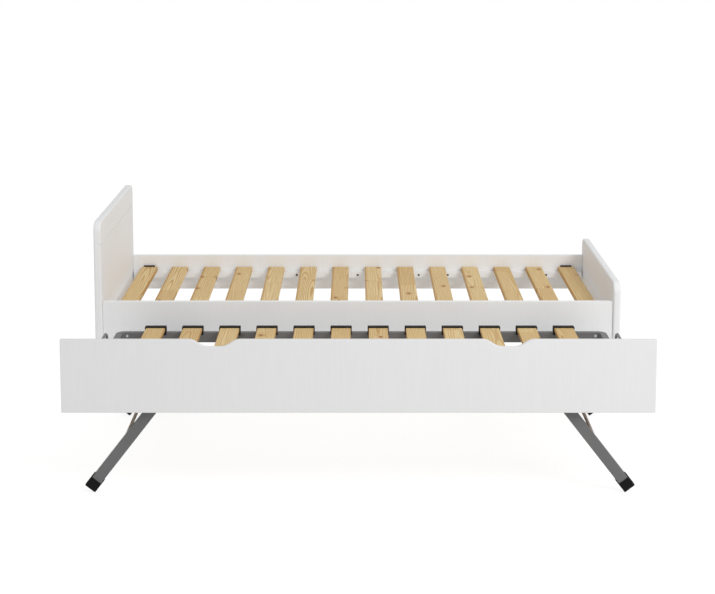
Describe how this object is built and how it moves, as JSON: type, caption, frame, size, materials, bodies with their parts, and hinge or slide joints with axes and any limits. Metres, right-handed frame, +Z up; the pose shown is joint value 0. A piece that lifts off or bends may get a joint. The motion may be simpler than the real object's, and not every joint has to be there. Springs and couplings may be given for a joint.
{
  "type": "trundle bed",
  "caption": "Single bed with a slatted base, and a slatted trundle bed on a steel frame with sprung folding legs that lowers onto wheels to store underneath.",
  "frame": {"origin": "on the floor, under the middle of the bed and the trundle parked beside it, taken as one whole", "axes": "+X from the headboard to the footboard, +Y from the trundle's drawer front to the bed's far side, +Z up"},
  "size_m": [1.97, 1.9636, 0.724],
  "materials": {
    "white_paint": "smooth white lacquer or foil on board, satin",
    "pine": "bare planed pine and finger-jointed beech, matt",
    "grey_metal": "dark grey powder coat on steel tube, satin",
    "black_plastic": "black moulded plastic, fine texture",
    "spring_steel": "oiled drawn spring wire",
    "wheel_plastic": "grey moulded plastic"
  },
  "bodies": {
    "bed": {"headboard": "white_paint", "footboard": "white_paint", "front_rail": "white_paint", "rear_rail": "white_paint", "front_batten": "white_paint", "rear_batten": "white_paint", "bed_slat_01": "pine", "bed_slat_02": "pine", "bed_slat_03": "pine", "bed_slat_04": "pine", "bed_slat_05": "pine", "bed_slat_06": "pine", "bed_slat_07": "pine", "bed_slat_08": "pine", "bed_slat_09": "pine", "bed_slat_10": "pine", "bed_slat_11": "pine", "bed_slat_12": "pine", "bed_slat_13": "pine", "bed_slat_14": "pine"},
    "trundle": {"drawer_front": "white_paint", "drawer_front_bracket_left": "grey_metal", "drawer_front_bracket_middle": "grey_metal", "drawer_front_bracket_right": "grey_metal", "frame_front_tube": "grey_metal", "frame_rear_tube": "grey_metal", "frame_left_end": "grey_metal", "frame_right_end": "grey_metal", "cross_member_left": "grey_metal", "cross_member_right": "grey_metal", "trundle_slat_01": "pine", "trundle_slat_02": "pine", "trundle_slat_03": "pine", "trundle_slat_04": "pine", "trundle_slat_05": "pine", "trundle_slat_06": "pine", "trundle_slat_07": "pine", "trundle_slat_08": "pine", "trundle_slat_09": "pine", "trundle_slat_10": "pine", "trundle_slat_11": "pine", "trundle_slat_12": "pine", "slat_caps_front": "black_plastic", "slat_caps_rear": "black_plastic", "mattress_hoop_left": "grey_metal", "mattress_hoop_right": "grey_metal"},
    "left_legs": {"left_legs": "grey_metal", "foot_cap_front_left": "black_plastic", "foot_cap_rear_left": "black_plastic", "leg_spring_front_left": "spring_steel", "leg_spring_rear_left": "spring_steel"},
    "right_legs": {"right_legs": "grey_metal", "foot_cap_front_right": "black_plastic", "foot_cap_rear_right": "black_plastic", "leg_spring_front_right": "spring_steel", "leg_spring_rear_right": "spring_steel"},
    "wheel_front_left": {"wheel_front_left": "wheel_plastic"},
    "wheel_front_right": {"wheel_front_right": "wheel_plastic"},
    "wheel_rear_left": {"wheel_rear_left": "wheel_plastic"},
    "wheel_rear_right": {"wheel_rear_right": "wheel_plastic"}
  },
  "joints": [
    {"name": "trundle_lift", "type": "slide", "parent": "bed", "child": "trundle", "axis": [0, 0, 1], "range_m": [-0.243, 0]},
    {"name": "left_leg_fold", "type": "hinge", "parent": "trundle", "child": "left_legs", "pos_m": [-0.639, -0.48975, 0.3085], "axis": [0, -1, 0], "range_deg": [0, 127.8], "stiffness_Nm_per_rad": 2, "springref_deg": -85.94, "deforming": ["leg_spring_front_left", "leg_spring_rear_left"]},
    {"name": "right_leg_fold", "type": "hinge", "parent": "trundle", "child": "right_legs", "pos_m": [0.653, -0.48975, 0.3085], "axis": [0, 1, 0], "range_deg": [0, 127.8], "stiffness_Nm_per_rad": 2, "springref_deg": -85.94, "deforming": ["leg_spring_front_right", "leg_spring_rear_right"]},
    {"name": "wheel_front_left_spin", "type": "hinge", "parent": "trundle", "child": "wheel_front_left", "pos_m": [-0.437, -0.80875, 0.2635], "axis": [1, 0, 0], "continuous": true},
    {"name": "wheel_front_right_spin", "type": "hinge", "parent": "trundle", "child": "wheel_front_right", "pos_m": [0.463, -0.80875, 0.2635], "axis": [1, 0, 0], "continuous": true},
    {"name": "wheel_rear_left_spin", "type": "hinge", "parent": "trundle", "child": "wheel_rear_left", "pos_m": [-0.437, -0.17075, 0.2635], "axis": [1, 0, 0], "continuous": true},
    {"name": "wheel_rear_right_spin", "type": "hinge", "parent": "trundle", "child": "wheel_rear_right", "pos_m": [0.463, -0.17075, 0.2635], "axis": [1, 0, 0], "continuous": true}
  ],
  "couplings": [
    {"joint": "left_leg_fold", "follows": "trundle_lift", "rad_per_m": -9.179},
    {"joint": "right_leg_fold", "follows": "trundle_lift", "rad_per_m": -9.179}
  ]
}
